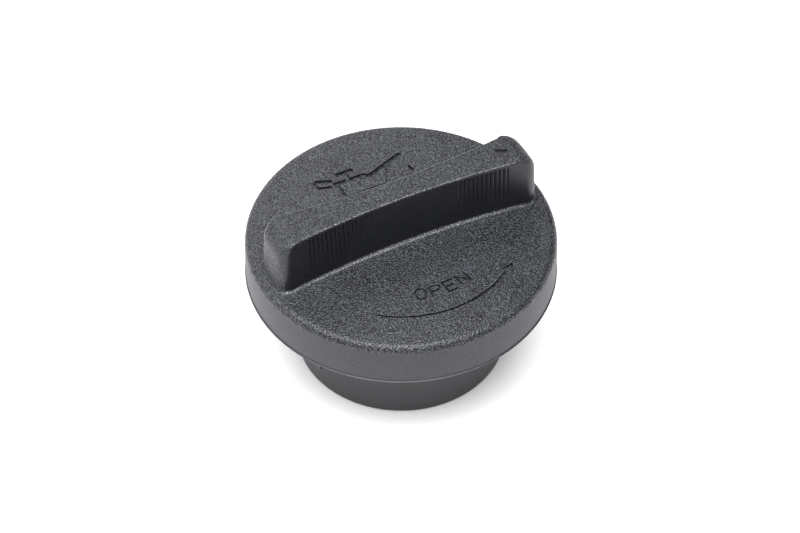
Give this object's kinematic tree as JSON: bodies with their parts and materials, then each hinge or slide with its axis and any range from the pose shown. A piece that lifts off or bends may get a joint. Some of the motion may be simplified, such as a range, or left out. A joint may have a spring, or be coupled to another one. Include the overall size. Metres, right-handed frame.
{
  "type": "oil filler cap",
  "caption": "Round moulded oil filler cap with a waisted grip bar across its domed face, a bayonet neck and a seal ring below.",
  "frame": {"origin": "centre of the neck's lower edge, on the cap's axis", "axes": "+Z along the cap's axis from the neck to the head, X along the grip bar and the bayonet lugs"},
  "size_m": [0.0628, 0.0628, 0.0422],
  "materials": {
    "head": "coarse spark-eroded grain on the face, fine satin on the side and the bar",
    "bayonet_plug": "smooth satin",
    "seal_ring": "matt rubber"
  },
  "bodies": {
    "root": {"head": "head", "bayonet_plug": "bayonet_plug", "seal_ring": "seal_ring"}
  },
  "joints": []
}
